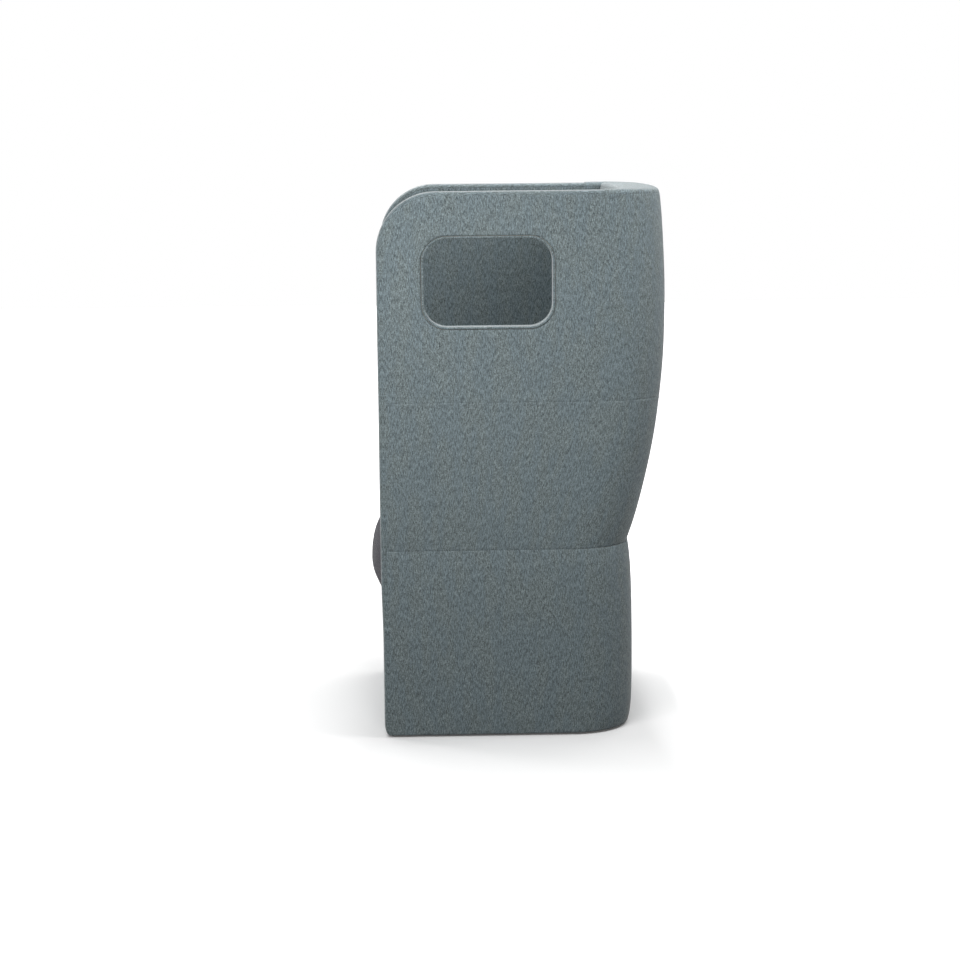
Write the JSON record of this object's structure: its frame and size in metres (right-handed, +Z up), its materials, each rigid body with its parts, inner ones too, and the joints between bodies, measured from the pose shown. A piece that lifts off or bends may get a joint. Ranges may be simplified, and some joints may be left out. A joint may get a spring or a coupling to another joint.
{
  "type": "acoustic high back lounge chair",
  "caption": "Upholstered high back lounge chair with tall side panels, a window in one panel, a fixed seat and back cushion, and levelling glides.",
  "frame": {"origin": "centre of the bounding box on the floor", "axes": "+Z up, -Y the way the sitter faces, +X the sitter's left, where the window is"},
  "size_m": [0.75, 0.7497, 1.35],
  "materials": {
    "shell_fabric": "matte",
    "seat_fabric": "matte",
    "foam": "matte",
    "plywood": "satin",
    "dark_felt": "matte",
    "zinc_steel": "satin",
    "black_nylon": "satin"
  },
  "bodies": {
    "chair": {"bottom_frame": "plywood", "dust_cover": "dark_felt", "base_side_board_left": "plywood", "base_side_board_right": "plywood", "base_front_board": "plywood", "base_rear_board": "plywood", "base_corner_boards": "plywood", "seat_support_rails": "plywood", "base_foam": "foam", "lower_cover": "shell_fabric", "front_foam": "foam", "front_cover": "shell_fabric", "glide_inserts": "zinc_steel", "seat_frame": "plywood", "seat_webbing": "dark_felt", "seat_pad": "dark_felt", "seat_foam": "foam", "seat_cover": "seat_fabric", "seat_screws": "zinc_steel", "panel_board_left": "plywood", "panel_board_right": "plywood", "outer_foam_left": "foam", "outer_foam_right": "foam", "inner_foam_left": "foam", "inner_foam_right": "foam", "middle_cover_left": "shell_fabric", "middle_cover_right": "shell_fabric", "upper_cover_left": "shell_fabric", "upper_cover_right": "shell_fabric", "inner_cover_left": "shell_fabric", "inner_cover_right": "shell_fabric", "edge_foam_left": "foam", "edge_foam_right": "foam", "edge_band_left": "shell_fabric", "edge_band_right": "shell_fabric", "window_lining": "shell_fabric", "window_piping": "shell_fabric", "back_stiles": "plywood", "back_ribs": "plywood", "back_inner_board": "plywood", "back_skin": "plywood", "back_outer_foam": "foam", "back_top_foam": "foam", "rear_middle_cover": "shell_fabric", "rear_upper_cover": "shell_fabric", "back_top_cover": "shell_fabric", "back_inner_foam": "foam", "back_inner_cover": "shell_fabric", "back_cushion_foam": "foam", "back_cushion_cover": "seat_fabric", "joining_plates": "zinc_steel", "joining_screws": "zinc_steel"},
    "pad_front_left": {"glide_pad_front_left": "black_nylon"},
    "stem_front_left": {"glide_stem_front_left": "zinc_steel"},
    "pad_front_right": {"glide_pad_front_right": "black_nylon"},
    "stem_front_right": {"glide_stem_front_right": "zinc_steel"},
    "pad_rear_left": {"glide_pad_rear_left": "black_nylon"},
    "stem_rear_left": {"glide_stem_rear_left": "zinc_steel"},
    "pad_rear_right": {"glide_pad_rear_right": "black_nylon"},
    "stem_rear_right": {"glide_stem_rear_right": "zinc_steel"}
  },
  "joints": [
    {"name": "height_front_left", "type": "slide", "parent": "chair", "child": "pad_front_left", "axis": [0, 0, -1], "range_m": [0, 0.01]},
    {"name": "spin_front_left", "type": "hinge", "parent": "pad_front_left", "child": "stem_front_left", "pos_m": [0.305, -0.24791, 0.02], "axis": [0, 0, 1], "range_deg": [0, 2880]},
    {"name": "height_front_right", "type": "slide", "parent": "chair", "child": "pad_front_right", "axis": [0, 0, -1], "range_m": [0, 0.01]},
    {"name": "spin_front_right", "type": "hinge", "parent": "pad_front_right", "child": "stem_front_right", "pos_m": [-0.305, -0.24791, 0.02], "axis": [0, 0, 1], "range_deg": [0, 2880]},
    {"name": "height_rear_left", "type": "slide", "parent": "chair", "child": "pad_rear_left", "axis": [0, 0, -1], "range_m": [0, 0.01]},
    {"name": "spin_rear_left", "type": "hinge", "parent": "pad_rear_left", "child": "stem_rear_left", "pos_m": [0.305, 0.19209, 0.02], "axis": [0, 0, 1], "range_deg": [0, 2880]},
    {"name": "height_rear_right", "type": "slide", "parent": "chair", "child": "pad_rear_right", "axis": [0, 0, -1], "range_m": [0, 0.01]},
    {"name": "spin_rear_right", "type": "hinge", "parent": "pad_rear_right", "child": "stem_rear_right", "pos_m": [-0.305, 0.19209, 0.02], "axis": [0, 0, 1], "range_deg": [0, 2880]}
  ],
  "couplings": [
    {"joint": "height_front_left", "follows": "spin_front_left", "m_per_rad": 0.00019894},
    {"joint": "height_front_right", "follows": "spin_front_right", "m_per_rad": 0.00019894},
    {"joint": "height_rear_left", "follows": "spin_rear_left", "m_per_rad": 0.00019894},
    {"joint": "height_rear_right", "follows": "spin_rear_right", "m_per_rad": 0.00019894}
  ]
}
